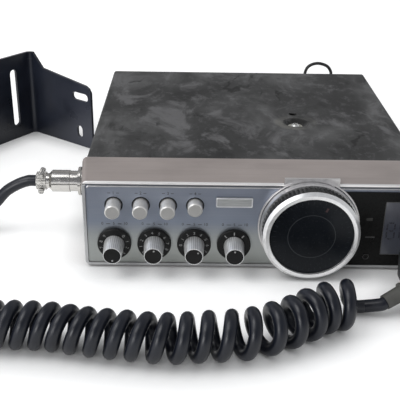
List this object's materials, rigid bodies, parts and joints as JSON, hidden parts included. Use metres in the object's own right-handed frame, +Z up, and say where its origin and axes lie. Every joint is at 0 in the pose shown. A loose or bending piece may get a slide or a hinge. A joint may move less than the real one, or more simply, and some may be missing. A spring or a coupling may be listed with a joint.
{
  "type": "mobile two-way radio",
  "caption": "Mobile two-way radio with knobs, push buttons, a large channel dial, curly-corded hand microphone, power lead and a detached mounting bracket",
  "frame": {"origin": "middle of the underside of the radio's cabinet and bezel", "axes": "+X to the right seen from the front, +Y to the rear, +Z up"},
  "size_m": [0.446, 0.4261, 0.066],
  "materials": {
    "cover_paint": "matte dark grey paint with light scuffs",
    "bezel_finish": "satin taupe grey",
    "panel_metal": "brushed",
    "display_black": "glossy black",
    "window_glass": "smoked",
    "lens": "clear coloured lens",
    "silver": "turned and polished",
    "grip_black": "matte black",
    "button_ivory": "satin",
    "chassis_steel": "plated sheet",
    "fastener": "bright plated",
    "nut_brass": "plain",
    "part_plastic": "moulded",
    "board_green": "solder mask",
    "sink_alu": "extruded",
    "cone_paper": "paper cone",
    "nickel": "nickel plated",
    "cord_rubber": "satin",
    "mic_plastic": "fine grain",
    "bracket_paint": "satin black"
  },
  "bodies": {
    "radio": {"top_cover": "cover_paint", "bottom_cover": "cover_paint", "front_bezel": "bezel_finish", "front_panel": "panel_metal", "display_panel": "display_black", "display_window": "window_glass", "indicator_lenses": "lens", "badge_plate": "panel_metal", "dial_collar": "silver", "rear_panel": "chassis_steel", "chassis_frame": "chassis_steel", "cover_screws": "fastener", "bracket_nuts": "nut_brass", "switch_bank": "part_plastic", "potentiometers": "part_plastic", "channel_switch": "part_plastic", "display_board": "board_green", "circuit_board": "board_green", "board_parts": "part_plastic", "heat_sink": "sink_alu", "speaker_basket": "chassis_steel", "speaker_cone": "cone_paper", "antenna_socket": "nickel", "speaker_jacks": "part_plastic", "power_grommet": "cord_rubber", "power_lead": "cord_rubber", "power_lead_coil": "cord_rubber", "coil_tie": "cord_rubber", "fuse_holder": "cord_rubber", "mic_socket": "nickel", "plug_barrel": "nickel", "plug_clamp": "nickel", "mic_cord_lead": "cord_rubber", "mic_cord_curls": "cord_rubber", "mic_cord_tail": "cord_rubber", "mic_strain_relief": "cord_rubber", "mic_rear_shell": "mic_plastic", "mic_front_shell": "mic_plastic", "mic_capsule": "part_plastic", "mic_hang_button": "fastener", "mounting_bracket": "bracket_paint"},
    "noise_button": {"noise_button": "button_ivory"},
    "scan_button": {"scan_button": "button_ivory"},
    "hold_button": {"hold_button": "button_ivory"},
    "band_button": {"band_button": "button_ivory"},
    "volume_control": {"volume_knob": "grip_black", "volume_sleeve": "silver"},
    "squelch_control": {"squelch_knob": "grip_black", "squelch_sleeve": "silver"},
    "gain_control": {"gain_knob": "grip_black", "gain_sleeve": "silver"},
    "tune_control": {"tune_knob": "grip_black", "tune_sleeve": "silver"},
    "channel_dial": {"dial_body": "silver", "dial_grip": "grip_black", "dial_ring": "silver", "dial_face": "display_black"},
    "coupling_ring": {"plug_coupling_ring": "nickel"},
    "talk_bar": {"talk_bar": "mic_plastic"}
  },
  "joints": [
    {"name": "noise_button_press", "type": "slide", "parent": "radio", "child": "noise_button", "axis": [0, 1, 0], "range_m": [0, 0.0045], "stiffness_N_per_m": 250, "springref_m": -0.002},
    {"name": "scan_button_press", "type": "slide", "parent": "radio", "child": "scan_button", "axis": [0, 1, 0], "range_m": [0, 0.0045], "stiffness_N_per_m": 250, "springref_m": -0.002},
    {"name": "hold_button_press", "type": "slide", "parent": "radio", "child": "hold_button", "axis": [0, 1, 0], "range_m": [0, 0.0045], "stiffness_N_per_m": 250, "springref_m": -0.002},
    {"name": "band_button_press", "type": "slide", "parent": "radio", "child": "band_button", "axis": [0, 1, 0], "range_m": [-0.0037, 0.0008]},
    {"name": "volume_control_turn", "type": "hinge", "parent": "radio", "child": "volume_control", "pos_m": [-0.0784, -0.1, 0.0156], "axis": [0, 1, 0], "range_deg": [0, 300]},
    {"name": "squelch_control_turn", "type": "hinge", "parent": "radio", "child": "squelch_control", "pos_m": [-0.0561, -0.1, 0.0156], "axis": [0, 1, 0], "range_deg": [-157, 143]},
    {"name": "gain_control_turn", "type": "hinge", "parent": "radio", "child": "gain_control", "pos_m": [-0.0338, -0.1, 0.0156], "axis": [0, 1, 0], "range_deg": [-195, 105]},
    {"name": "tune_control_turn", "type": "hinge", "parent": "radio", "child": "tune_control", "pos_m": [-0.0115, -0.1, 0.0156], "axis": [0, 1, 0], "range_deg": [-150, 150]},
    {"name": "channel_dial_turn", "type": "hinge", "parent": "radio", "child": "channel_dial", "pos_m": [0.02965, -0.1, 0.0279], "axis": [0, 1, 0], "continuous": true},
    {"name": "coupling_ring_turn", "type": "hinge", "parent": "radio", "child": "coupling_ring", "pos_m": [-0.105, -0.057, 0.0343], "axis": [1, 0, 0], "continuous": true},
    {"name": "talk_bar_press", "type": "slide", "parent": "radio", "child": "talk_bar", "axis": [-0.3746, 0.9272, 0], "range_m": [0, 0.003], "stiffness_N_per_m": 400, "springref_m": -0.001}
  ]
}
